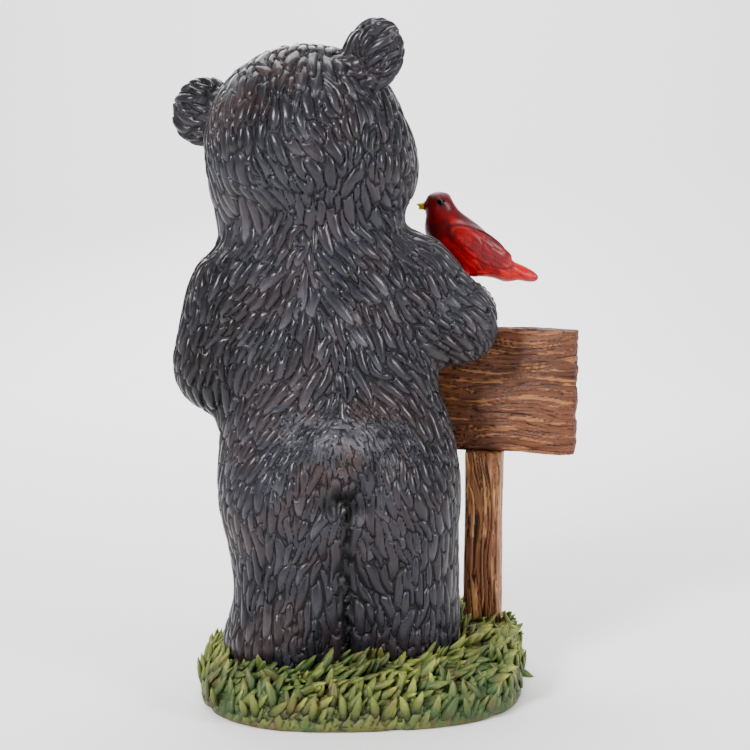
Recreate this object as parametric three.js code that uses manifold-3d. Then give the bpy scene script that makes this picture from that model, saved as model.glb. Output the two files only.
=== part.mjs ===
// A painted garden statue: a bear stands on a grass mound and turns its head to a bird
// that sits on its right forearm, over a plain sign board on a post.
// Millimetres, +Z up. The bear faces -Y, its right side is -X. Z = 0 is the flat underside.
import * as THREE from "three";
import Module from "manifold-3d";

const wasm = await Module();
wasm.setup();

const SEAM = 0.35;               // clear gap left where two pieces meet
const BEAR_FACET = 10.9;         // side of one facet of each rounded skin
const BIRD_FACET = 4.4;

// grass mound
const MOUND_HALF_WIDTH = 96;
const MOUND_HALF_DEPTH = 82;
const MOUND_SQUARENESS = 2.7;
const MOUND_HEIGHT = 21;
const MOUND_RISE_AT_POST = 11;
const MOUND_BULGE_AT_POST = 6;
const MOUND_SHOULDER = 16;       // how far the rounded edge reaches in from the rim
const MOUND_SIDES = 76;
const RIM_HEIGHT = 3;
const TUFT_ROWS = 5;
const TUFTS_AROUND = 25;
const TUFT_DEPTH = 2.6;

// bear
const SOLE_HEIGHT = 14;          // the feet are set into the mound down to here
const BODY_AXIS_X = 12;
const HIP_HALF_WIDTH = 71;
const BELLY_HALF_DEPTH = 50;
const CHEST_HALF_WIDTH = 63;
const HEAD_CENTRE = [31.5, -2, 324];
const HEAD_HALF = [60, 56, 57];
const HEAD_TILT = 14.5;          // degrees, towards the bear's left
const HEAD_TURN = 26;            // degrees, towards the bird
const HEAD_NOD = 8;
const EAR_SPREAD = 57.5;
const EAR_BACK = 13;
const EAR_RISE = 34;
const EAR_HALF = [21.5, 10.5, 22];

// sign
const SIGN_TURN = -15;           // degrees about +Z
const POST_AT = [-76, -33];
const POST_WIDTH = 22.5;
const POST_DEPTH = 19.5;
const POST_FOOT = 18;
const BOARD_WIDTH = 113;
const BOARD_HEIGHT = 76;
const BOARD_THICKNESS = 14;
const BOARD_BOTTOM = 138;

// bird
const BIRD_CENTRE = [-62, -42, 267];
const BIRD_BODY = [28, 12.5, 13];
const BIRD_SLOPE = 40;           // degrees the back rises towards the head
const BIRD_TURN = 6;

const deg = (a) => a * Math.PI / 180;

// ---- solid fields: each gives a signed distance, negative inside ----

function frameAt(centre, turn) {
  const euler = new THREE.Euler(deg(turn[0]), deg(turn[1]), deg(turn[2]), "ZYX");
  return new THREE.Matrix4().makeRotationFromEuler(euler).setPosition(...centre);
}

function placed(centre, turn) {
  const back = frameAt(centre, turn).invert().elements;
  return (x, y, z) => [
    back[0] * x + back[4] * y + back[8] * z + back[12],
    back[1] * x + back[5] * y + back[9] * z + back[13],
    back[2] * x + back[6] * y + back[10] * z + back[14],
  ];
}

function egg(centre, half, turn = [0, 0, 0]) {
  const local = placed(centre, turn);
  return (x, y, z) => {
    const [u, v, w] = local(x, y, z);
    const k0 = Math.hypot(u / half[0], v / half[1], w / half[2]);
    const k1 = Math.hypot(u / half[0] ** 2, v / half[1] ** 2, w / half[2] ** 2);
    return k1 < 1e-9 ? -Math.min(...half) : k0 * (k0 - 1) / k1;
  };
}

function limb(from, to, startRadius, endRadius) {
  const axis = [to[0] - from[0], to[1] - from[1], to[2] - from[2]];
  const length2 = axis[0] ** 2 + axis[1] ** 2 + axis[2] ** 2;
  return (x, y, z) => {
    const d = [x - from[0], y - from[1], z - from[2]];
    const t = (d[0] * axis[0] + d[1] * axis[1] + d[2] * axis[2]) / length2;
    const s = Math.min(1, Math.max(0, t));
    const off = Math.hypot(d[0] - axis[0] * s, d[1] - axis[1] * s, d[2] - axis[2] * s);
    return off - (startRadius + (endRadius - startRadius) * s);
  };
}

function soften(a, b, reach) {
  const h = Math.max(reach - Math.abs(a - b), 0) / reach;
  return Math.min(a, b) - h * h * reach * 0.25;
}

function blend(reach, ...fields) {
  return (x, y, z) => fields.reduce((sum, f) => soften(sum, f(x, y, z), reach), 1e3);
}

function within(local, field) {
  return (x, y, z) => field(...local(x, y, z));
}

// ---- a field turned into an even skin of small quads ----

function skinOf(field, low, high, cell) {
  const count = low.map((v, i) => Math.ceil((high[i] - v) / cell) + 1);
  const [nx, ny, nz] = count;
  const at = (i, j, k) => i + nx * (j + ny * k);
  const value = new Float32Array(nx * ny * nz);
  for (let k = 0; k < nz; k++) {
    for (let j = 0; j < ny; j++) {
      for (let i = 0; i < nx; i++) {
        value[at(i, j, k)] = field(low[0] + i * cell, low[1] + j * cell, low[2] + k * cell);
      }
    }
  }
  const corners = [];
  for (let c = 0; c < 8; c++) {
    corners.push([c & 1, (c >> 1) & 1, (c >> 2) & 1]);
  }
  const cellVertex = new Int32Array(nx * ny * nz).fill(-1);
  const points = [];
  for (let k = 0; k < nz - 1; k++) {
    for (let j = 0; j < ny - 1; j++) {
      for (let i = 0; i < nx - 1; i++) {
        const found = cellCrossing(value, at, corners, i, j, k);
        if (found) {
          cellVertex[at(i, j, k)] = points.length;
          points.push(settled(field, found.map((v, n) => low[n] + v * cell), cell));
        }
      }
    }
  }
  return { points, faces: facesBetween(value, at, cellVertex, nx, ny, nz, points) };
}

function cellCrossing(value, at, corners, i, j, k) {
  let hits = 0;
  const sum = [0, 0, 0];
  for (let a = 0; a < 8; a++) {
    for (const step of [1, 2, 4]) {
      const b = a | step;
      if (b === a) {
        continue;
      }
      const va = value[at(i + corners[a][0], j + corners[a][1], k + corners[a][2])];
      const vb = value[at(i + corners[b][0], j + corners[b][1], k + corners[b][2])];
      if ((va < 0) === (vb < 0)) {
        continue;
      }
      const t = va / (va - vb);
      for (let n = 0; n < 3; n++) {
        sum[n] += corners[a][n] + t * (corners[b][n] - corners[a][n]);
      }
      hits += 1;
    }
  }
  return hits ? [i + sum[0] / hits, j + sum[1] / hits, k + sum[2] / hits] : null;
}

function settled(field, point, cell) {
  const p = [...point];
  const e = 0.4;
  for (let pass = 0; pass < 3; pass++) {
    const f = field(...p);
    const g = [
      (field(p[0] + e, p[1], p[2]) - field(p[0] - e, p[1], p[2])) / (2 * e),
      (field(p[0], p[1] + e, p[2]) - field(p[0], p[1] - e, p[2])) / (2 * e),
      (field(p[0], p[1], p[2] + e) - field(p[0], p[1], p[2] - e)) / (2 * e),
    ];
    const g2 = Math.max(g[0] ** 2 + g[1] ** 2 + g[2] ** 2, 0.2);
    for (let n = 0; n < 3; n++) {
      const step = Math.max(-0.2 * cell, Math.min(0.2 * cell, f * g[n] / g2));
      p[n] -= step;
    }
  }
  return p;
}

function facesBetween(value, at, cellVertex, nx, ny, nz, points) {
  const faces = [];
  const quad = (a, b, c, d, flip) => {
    const near = (m, n) => Math.hypot(...points[m].map((v, i) => v - points[n][i]));
    const ring = flip ? [d, c, b, a] : [a, b, c, d];
    if (near(ring[0], ring[2]) <= near(ring[1], ring[3])) {
      faces.push([ring[0], ring[1], ring[2]], [ring[0], ring[2], ring[3]]);
    } else {
      faces.push([ring[1], ring[2], ring[3]], [ring[1], ring[3], ring[0]]);
    }
  };
  for (let k = 1; k < nz - 1; k++) {
    for (let j = 1; j < ny - 1; j++) {
      for (let i = 1; i < nx - 1; i++) {
        const inside = value[at(i, j, k)] < 0;
        if (inside !== (value[at(i + 1, j, k)] < 0)) {
          quad(cellVertex[at(i, j - 1, k - 1)], cellVertex[at(i, j, k - 1)],
            cellVertex[at(i, j, k)], cellVertex[at(i, j - 1, k)], !inside);
        }
        if (inside !== (value[at(i, j + 1, k)] < 0)) {
          quad(cellVertex[at(i - 1, j, k - 1)], cellVertex[at(i - 1, j, k)],
            cellVertex[at(i, j, k)], cellVertex[at(i, j, k - 1)], !inside);
        }
        if (inside !== (value[at(i, j, k + 1)] < 0)) {
          quad(cellVertex[at(i - 1, j - 1, k)], cellVertex[at(i, j - 1, k)],
            cellVertex[at(i, j, k)], cellVertex[at(i - 1, j, k)], !inside);
        }
      }
    }
  }
  return faces;
}

function puffed({ points, faces }, by) {
  const normals = points.map(() => new THREE.Vector3());
  for (const [a, b, c] of faces) {
    const [p, q, r] = [a, b, c].map((n) => new THREE.Vector3(...points[n]));
    const normal = q.sub(p).cross(r.sub(p));
    for (const n of [a, b, c]) {
      normals[n].add(normal);
    }
  }
  const moved = points.map((p, n) => {
    const out = normals[n].normalize().multiplyScalar(by);
    return [p[0] + out.x, p[1] + out.y, p[2] + out.z];
  });
  return { points: moved, faces };
}

function isClosed(faces) {
  const shared = new Map();
  for (const face of faces) {
    for (let n = 0; n < 3; n++) {
      const ends = [face[n], face[(n + 1) % 3]].sort((a, b) => a - b).join("_");
      shared.set(ends, (shared.get(ends) || 0) + 1);
    }
  }
  return [...shared.values()].every((uses) => uses === 2);
}

function closedSkin(field, low, high, cell) {
  for (let shift = 0; shift < 12; shift++) {
    const start = low.map((v, n) => v - cell * ((shift * (0.37 + 0.13 * n)) % 1));
    const skin = skinOf(field, start, high, cell);
    if (isClosed(skin.faces)) {
      return skin;
    }
  }
  throw new Error("no closed skin found");
}

function solidOf({ points, faces }) {
  return new wasm.Manifold(new wasm.Mesh({
    numProp: 3,
    vertProperties: new Float32Array(points.flat()),
    triVerts: new Uint32Array(faces.flat()),
  }));
}

function solidFrom(geometry) {
  const index = new Map();
  const points = [];
  const place = geometry.attributes.position;
  const sameAs = [];
  for (let i = 0; i < place.count; i++) {
    const p = [place.getX(i), place.getY(i), place.getZ(i)];
    const key = p.map((v) => Math.round(v * 1e4)).join(",");
    if (!index.has(key)) {
      index.set(key, points.length);
      points.push(p);
    }
    sameAs.push(index.get(key));
  }
  const order = geometry.index ? Array.from(geometry.index.array) : sameAs.map((_, i) => i);
  const faces = [];
  for (let i = 0; i < order.length; i += 3) {
    const face = [sameAs[order[i]], sameAs[order[i + 1]], sameAs[order[i + 2]]];
    if (new Set(face).size === 3) {
      faces.push(face);
    }
  }
  return solidOf({ points, faces });
}

function block(low, high) {
  const size = low.map((v, i) => high[i] - v);
  const geometry = new THREE.BoxGeometry(...size);
  geometry.translate(...low.map((v, i) => (v + high[i]) / 2));
  return solidFrom(geometry);
}

// ---- bear ----

const HEAD_POSE = [HEAD_NOD, HEAD_TILT, -HEAD_TURN];
const headFrame = frameAt(HEAD_CENTRE, HEAD_POSE);

function headField() {
  const skull = egg([0, 2, 0], HEAD_HALF);
  const jowls = blend(12,
    egg([34, -8, -27], [33, 37, 34]),
    egg([-29, -10, -22], [31, 36, 31]));
  const brow = egg([0, -38, 8], [38, 20, 20]);
  const muzzle = limb([0, -40, -16], [0, -66, -19], 27, 21);
  const chin = limb([0, -44, -30], [0, -62, -34], 15, 11);
  return blend(14, skull, jowls, brow, muzzle, chin);
}

function makeEars() {
  return [1, -1].map((side) => {
    const ear = new THREE.SphereGeometry(1, 14, 9);
    ear.scale(...EAR_HALF);
    const hollow = new THREE.SphereGeometry(1, 10, 6);
    hollow.scale(14, 9, 14.5);
    hollow.translate(0, -11, 1);
    const cupped = [ear, hollow].map((g) => {
      g.rotateZ(deg(side * 10));
      g.rotateY(deg(side * 26));
      g.translate(side * EAR_SPREAD, EAR_BACK, EAR_RISE);
      return solidFrom(g.applyMatrix4(headFrame));
    });
    return cupped[0].subtract(cupped[1]);
  });
}

function bearField() {
  const x = BODY_AXIS_X;
  const trunk = blend(26,
    egg([x + 2, 2, 140], [HIP_HALF_WIDTH, BELLY_HALF_DEPTH, 70]),
    egg([x + 9, 0, 214], [CHEST_HALF_WIDTH, 44, 60]),
    egg([x + 13, 0, 262], [50, 40, 34]));
  const legs = blend(6,
    limb([43, 11, 112], [40, 13, 52], 39, 33),
    limb([41, 13, 56], [46, 14, 32], 33, 33),
    limb([-20, 8, 112], [-26, 9, 38], 38, 33.5));
  const rump = blend(5, egg([43, 21, 124], [32, 28, 38]), egg([-21, 20, 124], [32, 28, 38]));
  const crotch = egg([9, 8, 62], [19, 31, 64]);
  const feet = blend(8,
    egg([50.5, 0, 33], [30.5, 46, 23]),
    egg([-29, -16, 28], [30, 46, 20]));
  const leftArm = blend(14,
    limb([75, 0, 238], [86, -2, 200], 27.5, 25),
    limb([84, -6, 190], [64, -46, 179], 24.5, 17),
    egg([52, -54, 178], [20, 15, 17], [0, 0, 20]));
  const rightArm = blend(14,
    limb([-30, 0, 246], [-57.5, -8, 219], 28, 22.5),
    limb([-57.5, -8, 218], [-64, -36, 227], 21.5, 14.5),
    egg([-65, -43, 227], [16, 19, 13], [0, 0, -15]));
  const tail = egg([9, 43, 158], [15, 10, 19]);
  const lower = blend(6, blend(12, legs, feet), crotch);
  const body = blend(10, blend(16, trunk, lower), rump);
  const armed = blend(11, body, leftArm, rightArm);
  return blend(14, blend(12, armed, tail), within(placed(HEAD_CENTRE, HEAD_POSE), headField()));
}

function eyeAndNose() {
  const parts = [];
  const nose = new THREE.SphereGeometry(1, 10, 6);
  nose.scale(11, 8, 8);
  nose.translate(0, -81, -11);
  parts.push(nose);
  for (const side of [1, -1]) {
    const eye = new THREE.SphereGeometry(4.2, 8, 5);
    eye.translate(side * 21, -55.5, 7);
    parts.push(eye);
  }
  return parts.map((g) => solidFrom(g.applyMatrix4(headFrame)));
}

function clawRow(centre, outward, spread, count, length, grow = 0) {
  const claws = [];
  const ahead = new THREE.Vector3(...outward).normalize();
  const turn = new THREE.Quaternion().setFromUnitVectors(new THREE.Vector3(0, 1, 0), ahead);
  for (let i = 0; i < count; i++) {
    const along = (i - (count - 1) / 2) / ((count - 1) / 2);
    const claw = new THREE.ConeGeometry(2.8 + grow, length + 2 * grow, 6);
    claw.applyQuaternion(turn);
    claw.translate(
      centre[0] + spread[0] * along,
      centre[1] + spread[1] * along + 6 * along * along,
      centre[2] + spread[2] * along);
    claws.push(solidFrom(claw));
  }
  return claws;
}

function footClaws(grow) {
  return [
    ...clawRow([49, -42, 27], [0, -1, -0.2], [16, 0, 0], 5, 17, grow),
    ...clawRow([-29, -58, 29], [0, -1, -0.2], [16, 0, 0], 5, 17, grow),
  ];
}

const bearShape = bearField();
const BEAR_LOW = [-100, -120, -20];
const BEAR_HIGH = [130, 80, 420];
const bearSkin = closedSkin(bearShape, BEAR_LOW, BEAR_HIGH, BEAR_FACET);

function sign(at) {
  return new THREE.Matrix4().makeRotationZ(deg(SIGN_TURN)).setPosition(POST_AT[0], POST_AT[1], at);
}

function makeBear() {
  let bear = solidOf(bearSkin);
  for (const piece of [...eyeAndNose(), ...makeEars()]) {
    bear = bear.add(piece);
  }
  for (const claw of footClaws(0)) {
    bear = bear.add(claw);
  }
  bear = bear.subtract(block([-200, -200, -50], [200, 200, SOLE_HEIGHT]));
  return bear.subtract(boardRoom());
}

// ---- sign ----

function boardRoom() {
  const grow = 1.2;
  const room = new THREE.BoxGeometry(
    BOARD_WIDTH + 2 * grow, BOARD_THICKNESS + 2 * grow, BOARD_HEIGHT + 2 * SEAM);
  room.translate(0, 0, BOARD_HEIGHT / 2);
  return solidFrom(room.applyMatrix4(sign(BOARD_BOTTOM)));
}

function makeBoard() {
  const across = 13;
  const up = 9;
  const board = new THREE.BoxGeometry(BOARD_WIDTH, BOARD_THICKNESS, BOARD_HEIGHT, across, 1, up);
  const place = board.attributes.position;
  for (let i = 0; i < place.count; i++) {
    const u = place.getX(i);
    const v = place.getY(i);
    const w = place.getZ(i);
    const face = Math.abs(v) > BOARD_THICKNESS / 2 - 0.01 ? Math.sign(v) : 0;
    const edgeU = Math.abs(u) / (BOARD_WIDTH / 2);
    const edgeW = Math.abs(w) / (BOARD_HEIGHT / 2);
    const groove = 0.45 + 0.45 * Math.sin(w * 0.62 + 1.6 * Math.sin(u * 0.055 + face));
    const worn = 1.4 * (edgeU ** 16 + edgeW ** 16);
    const sideChip = edgeU ** 8 * (0.7 + 0.7 * Math.sin(w * 0.31));
    const topChip = edgeW ** 8 * (0.35 + 0.35 * Math.sin(u * 0.13 + 2 * Math.sign(w)));
    place.setX(i, u - Math.sign(u) * sideChip);
    place.setY(i, v - face * (groove + worn));
    place.setZ(i, w - Math.sign(w) * topChip);
  }
  board.translate(0, 0, BOARD_HEIGHT / 2);
  return solidFrom(board.applyMatrix4(sign(BOARD_BOTTOM)));
}

function makePost() {
  const height = BOARD_BOTTOM - SEAM - POST_FOOT;
  const post = new THREE.BoxGeometry(POST_WIDTH, POST_DEPTH, height, 4, 4, 7);
  const place = post.attributes.position;
  for (let i = 0; i < place.count; i++) {
    const u = place.getX(i);
    const v = place.getY(i);
    const w = place.getZ(i);
    const slim = 1 - 0.02 * Math.sin(w * 0.045);
    const edgeU = Math.abs(u) / (POST_WIDTH / 2);
    const edgeV = Math.abs(v) / (POST_DEPTH / 2);
    const worn = 0.9 * Math.min(1, (edgeU * edgeV) ** 6);
    const cut = 0.35 * Math.sin(u * 0.9 + w * 0.03) + 0.35 * Math.sin(v * 1.1 - w * 0.04);
    place.setX(i, u * slim - Math.sign(u) * worn + 0.3 * cut);
    place.setY(i, v * slim - Math.sign(v) * worn + 0.3 * cut);
  }
  post.translate(0, 0, height / 2);
  return solidFrom(post.applyMatrix4(sign(POST_FOOT)));
}

// ---- grass mound ----

function moundReach(angle) {
  const c = Math.cos(angle);
  const d = Math.sin(angle);
  const depth = MOUND_HALF_DEPTH * (1 + 0.07 * c * d);
  const fx = Math.abs(c) / MOUND_HALF_WIDTH;
  const fy = Math.abs(d) / depth;
  const toPost = Math.acos(Math.cos(angle - deg(208))) / deg(24);
  const bulge = MOUND_BULGE_AT_POST * Math.exp(-toPost * toPost);
  return (fx ** MOUND_SQUARENESS + fy ** MOUND_SQUARENESS) ** (-1 / MOUND_SQUARENESS) + bulge;
}

function moundProfile(along) {
  // from the foot of the rim (0) over the rounded edge to the middle of the top (1):
  // how far in, how much of the height is reached, and how far over the top
  const rimEnd = 0.07;
  const edgeEnd = 0.6;
  if (along < rimEnd) {
    return { inward: 0, rise: 0, over: 0 };
  }
  if (along < edgeEnd) {
    const turn = (along - rimEnd) / (edgeEnd - rimEnd) * Math.PI / 2;
    return { inward: 1 - Math.cos(turn), rise: Math.sin(turn), over: 0 };
  }
  return { inward: 1, rise: 1, over: (along - edgeEnd) / (1 - edgeEnd) };
}

function tuftLift(around, along) {
  // leaf-shaped tufts in staggered rows, tips up and leaning towards -X
  let lift = 0;
  for (let row = 0; row < TUFT_ROWS; row++) {
    const root = 0.07 + row * 0.16;
    const v = (along - root) / 0.3;
    if (v < 0 || v > 1) {
      continue;
    }
    const shift = 0.5 * (row % 2) + 0.35 * v * Math.sin(around + 0.5 * Math.PI);
    const cell = around / (2 * Math.PI) * TUFTS_AROUND + shift;
    const index = Math.floor(cell);
    const u = 2 * (cell - index) - 1;
    const wide = Math.sqrt(Math.max(0, 1 - v * v));
    const swell = 1 + 0.35 * Math.sin(index * 2.3 + row * 1.9);
    const round = Math.max(0, 1 - (u / Math.max(wide, 0.05)) ** 2);
    const leaf = round * Math.sin(Math.PI * Math.min(1, v * 1.2));
    lift = Math.max(lift, TUFT_DEPTH * swell * leaf);
  }
  return lift;
}

function makeMoundSkin() {
  const points = [];
  const rings = 10;
  for (let j = 0; j < rings; j++) {
    const along = j / rings;
    for (let i = 0; i < MOUND_SIDES; i++) {
      const angle = i / MOUND_SIDES * 2 * Math.PI;
      const reach = moundReach(angle);
      const step = moundProfile(along);
      const out = (reach - MOUND_SHOULDER * step.inward) * (1 - step.over);
      const x = out * Math.cos(angle);
      const y = out * Math.sin(angle);
      const toPost = Math.hypot(x - POST_AT[0] - 26, y - POST_AT[1] - 30) / 52;
      const top = MOUND_HEIGHT + MOUND_RISE_AT_POST * Math.exp(-toPost * toPost);
      const z = j === 0 ? 0 : RIM_HEIGHT + (top - RIM_HEIGHT) * step.rise;
      const lift = tuftLift(angle, along);
      const grow = 1 + lift * Math.sqrt(1 - step.rise ** 2) / Math.max(out, 1);
      points.push([x * grow, y * grow, z + lift * step.rise]);
    }
  }
  points.push([0, 0, MOUND_HEIGHT + 0.5]);
  const faces = [];
  const ring = (i, j) => j * MOUND_SIDES + (i % MOUND_SIDES);
  for (let j = 0; j + 1 < rings; j++) {
    for (let i = 0; i < MOUND_SIDES; i++) {
      faces.push([ring(i, j), ring(i + 1, j), ring(i + 1, j + 1)]);
      faces.push([ring(i, j), ring(i + 1, j + 1), ring(i, j + 1)]);
    }
  }
  const outline = [];
  for (let i = 0; i < MOUND_SIDES; i++) {
    faces.push([ring(i, rings - 1), ring(i + 1, rings - 1), points.length - 1]);
    outline.push(new THREE.Vector2(points[i][0], points[i][1]));
  }
  for (const [a, b, c] of THREE.ShapeUtils.triangulateShape(outline, [])) {
    faces.push([a, c, b]);
  }
  return { points, faces };
}

function makeMound(bearSeat) {
  let mound = solidOf(makeMoundSkin());
  const hole = new THREE.BoxGeometry(POST_WIDTH + 1.6, POST_DEPTH + 1.6, 60);
  hole.translate(0, 0, 30);
  mound = mound.subtract(solidFrom(hole.applyMatrix4(sign(POST_FOOT - SEAM))));
  for (const claw of footClaws(1)) {
    mound = mound.subtract(claw);
  }
  const seat = bearSeat.subtract(block([-200, -200, -50], [200, 200, SOLE_HEIGHT - SEAM]));
  return mound.subtract(seat);
}

// ---- bird ----

function birdField() {
  const body = egg([-2, 0, 0.5], BIRD_BODY);
  const breast = egg([9, 0, -3.5], [16, 12, 12]);
  const belly = egg([-9, 0, -7], [15, 10.5, 9.5]);
  const head = egg([24.5, 0, 6.5], [9.6, 9.2, 9.4]);
  const neck = egg([17, 0, 2.5], [8, 8.6, 8.6]);
  const rump = egg([-25, 0, 2], [16, 9, 8]);
  const tail = egg([-39, 0, 7], [16.5, 7, 5], [0, 20, 0]);
  const wings = [1, -1].map((side) => egg([-10, side * 9.6, 3.5], [24, 5, 9.5], [0, 10, side * 8]));
  return blend(3, blend(5, body, breast, belly, neck, rump), head, tail, ...wings);
}

function makeBird(bearSeat) {
  const frame = frameAt(BIRD_CENTRE, [0, -BIRD_SLOPE, BIRD_TURN]);
  const skin = closedSkin(birdField(), [-72, -24, -24], [46, 24, 24], BIRD_FACET);
  skin.points = skin.points.map((p) => new THREE.Vector3(...p).applyMatrix4(frame).toArray());
  let bird = solidOf(skin);
  const beak = [[32, 11], [58, 9]].map(([pitch, length]) => {
    const half = new THREE.ConeGeometry(2.9, length, 8);
    half.rotateZ(-Math.PI / 2);
    half.translate(length / 2, 0, 0);
    half.scale(1, 0.9, 0.75);
    half.rotateY(deg(pitch));
    half.translate(29.5, 0, 2.3);
    return solidFrom(half.applyMatrix4(frame));
  });
  const eyes = [1, -1].map((side) => {
    const eye = new THREE.SphereGeometry(1.7, 8, 6);
    eye.translate(26, side * 8.2, 8.2);
    return solidFrom(eye.applyMatrix4(frame));
  });
  const legs = [1, -1].map((side) => {
    const leg = new THREE.CylinderGeometry(2.1, 2.4, 26, 8);
    leg.rotateX(Math.PI / 2);
    leg.translate(BIRD_CENTRE[0] - 1, BIRD_CENTRE[1] + side * 5.5, BIRD_CENTRE[2] - 18);
    return solidFrom(leg);
  });
  for (const piece of [...beak, ...eyes, ...legs]) {
    bird = bird.add(piece);
  }
  return bird.subtract(bearSeat);
}

// ---- the whole statue ----

function named(name, solid, colour, roughness) {
  const mesh = solid.getMesh();
  const geometry = new THREE.BufferGeometry();
  const points = new Float32Array(mesh.numVert * 3);
  for (let i = 0; i < mesh.numVert; i++) {
    for (let n = 0; n < 3; n++) {
      points[3 * i + n] = mesh.vertProperties[i * mesh.numProp + n];
    }
  }
  geometry.setAttribute("position", new THREE.BufferAttribute(points, 3));
  geometry.setIndex(Array.from(mesh.triVerts));
  geometry.computeVertexNormals();
  const paint = new THREE.MeshStandardMaterial({ color: colour, roughness, metalness: 0 });
  const piece = new THREE.Mesh(geometry, paint);
  piece.name = name;
  return piece;
}

const bearSeat = solidOf(puffed(bearSkin, 2 * SEAM));

const statue = new THREE.Group();
statue.name = "bear_statue";
statue.add(named("bear", makeBear(), 0x2f3038, 0.6));
statue.add(named("grass_base", makeMound(bearSeat), 0x6d7f2b, 0.7));
statue.add(named("sign_post", makePost(), 0x96592c, 0.65));
statue.add(named("sign_board", makeBoard(), 0x7b4a30, 0.65));
statue.add(named("bird", makeBird(bearSeat), 0xb3161b, 0.35));

export default statue;
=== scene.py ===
"""A painted resin garden statue: a bear stands on a grass mound and looks at a red bird on its
forearm, beside a bare sign board on a post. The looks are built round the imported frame."""
import math

import bmesh
import bpy
import numpy as np
from mathutils import Euler, Matrix, Vector


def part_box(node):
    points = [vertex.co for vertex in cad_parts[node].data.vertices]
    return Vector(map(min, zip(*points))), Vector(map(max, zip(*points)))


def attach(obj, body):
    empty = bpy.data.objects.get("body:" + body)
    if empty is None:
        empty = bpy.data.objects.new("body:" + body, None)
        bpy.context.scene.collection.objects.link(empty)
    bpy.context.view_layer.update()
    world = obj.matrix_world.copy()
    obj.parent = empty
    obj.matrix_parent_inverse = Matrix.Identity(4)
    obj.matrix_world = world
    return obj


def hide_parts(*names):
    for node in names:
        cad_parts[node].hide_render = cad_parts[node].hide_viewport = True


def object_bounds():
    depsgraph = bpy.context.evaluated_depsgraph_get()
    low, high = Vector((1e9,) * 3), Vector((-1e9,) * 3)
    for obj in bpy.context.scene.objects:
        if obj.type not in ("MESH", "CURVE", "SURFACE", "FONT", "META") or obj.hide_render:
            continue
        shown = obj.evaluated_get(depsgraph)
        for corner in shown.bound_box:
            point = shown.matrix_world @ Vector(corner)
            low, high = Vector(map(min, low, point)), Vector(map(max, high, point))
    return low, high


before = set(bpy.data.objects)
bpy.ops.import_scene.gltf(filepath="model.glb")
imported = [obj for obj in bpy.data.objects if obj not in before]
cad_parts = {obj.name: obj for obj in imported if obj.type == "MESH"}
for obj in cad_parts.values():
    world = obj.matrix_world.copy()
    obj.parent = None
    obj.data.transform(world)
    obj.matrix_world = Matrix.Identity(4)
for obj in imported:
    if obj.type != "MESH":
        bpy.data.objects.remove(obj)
CAD_LOW, CAD_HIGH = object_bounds()
MM = 0.001
BEAR_TRIANGLES = 197000
MOUND_TRIANGLES = 70000
BOARD_TRIANGLES = 150000
SMALL_TRIANGLES = 60000

# ------------------------------------------------------------------ stage

HEIGHT = CAD_HIGH.z - CAD_LOW.z
MIDDLE = (CAD_LOW + CAD_HIGH) / 2
CAMERA_HEIGHT_ANGLE = 8.0
CAMERA_DISTANCE = 2.178 * HEIGHT
CAMERA_LENS = 69.6
AIM = Vector((MIDDLE.x + 0.001, 0.0, 0.4795 * HEIGHT))


def make_camera():
    lift = math.radians(CAMERA_HEIGHT_ANGLE)
    back = Vector((0.0, math.cos(lift), math.sin(lift)))
    data = bpy.data.cameras.new("camera")
    data.lens = CAMERA_LENS
    data.sensor_width = 36.0
    data.dof.use_dof = False
    data.clip_start = 0.01
    data.clip_end = 50.0
    camera = bpy.data.objects.new("camera", data)
    bpy.context.scene.collection.objects.link(camera)
    camera.location = AIM + back * CAMERA_DISTANCE
    camera.rotation_mode = "QUATERNION"
    camera.rotation_quaternion = (-back).to_track_quat("-Z", "Y")
    bpy.context.scene.camera = camera


def soft_light(name, place, aim, size, power):
    data = bpy.data.lights.new(name, "AREA")
    data.shape = "SQUARE"
    data.size = size
    data.energy = power
    lamp = bpy.data.objects.new(name, data)
    bpy.context.scene.collection.objects.link(lamp)
    lamp.location = place
    lamp.rotation_mode = "QUATERNION"
    lamp.rotation_quaternion = (Vector(aim) - Vector(place)).to_track_quat("-Z", "Y")


def make_stage():
    world = bpy.data.worlds.new("studio")
    world.use_nodes = True
    world.node_tree.nodes["Background"].inputs["Color"].default_value = (1.0, 1.0, 1.0, 1.0)
    world.node_tree.nodes["Background"].inputs["Strength"].default_value = 0.34
    bpy.context.scene.world = world
    soft_light("key_softbox", (0.95, 1.15, 0.95), AIM, 0.35, 42.0)
    soft_light("side_softbox", (-1.35, 0.8, 0.6), AIM, 0.4, 25.0)
    soft_light("top_softbox", (0.1, 0.3, 1.6), AIM, 0.6, 5.0)
    soft_light("front_softbox", (0.3, -1.5, 1.0), AIM, 1.0, 14.0)
    soft_light("backdrop_softbox", (0.0, -0.9, 1.9), (0.0, -2.2, 0.4), 1.6, 75.0)
    mesh = bpy.data.meshes.new("floor")
    rows = [(4.0, 0.0), (-1.2, 0.0)]
    for k in range(1, 13):
        a = k / 12 * math.pi / 2
        rows.append((-1.2 - 1.2 * math.sin(a), 1.2 - 1.2 * math.cos(a)))
    rows.append((-2.4, 5.0))
    places = [(x, y, CAD_LOW.z + z) for y, z in rows for x in (-5.0, 5.0)]
    faces = [(2 * k, 2 * k + 2, 2 * k + 3, 2 * k + 1) for k in range(len(rows) - 1)]
    mesh.from_pydata(places, [], faces)
    for face in mesh.polygons:
        face.use_smooth = True
    floor = bpy.data.objects.new("floor", mesh)
    bpy.context.scene.collection.objects.link(floor)
    pale = bpy.data.materials.new("pale_floor")
    pale.use_nodes = True
    shader = pale.node_tree.nodes["Principled BSDF"]
    shader.inputs["Base Color"].default_value = (0.93, 0.93, 0.93, 1.0)
    shader.inputs["Roughness"].default_value = 0.9
    floor.data.materials.append(pale)


# ------------------------------------------------------------------ skins

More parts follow.
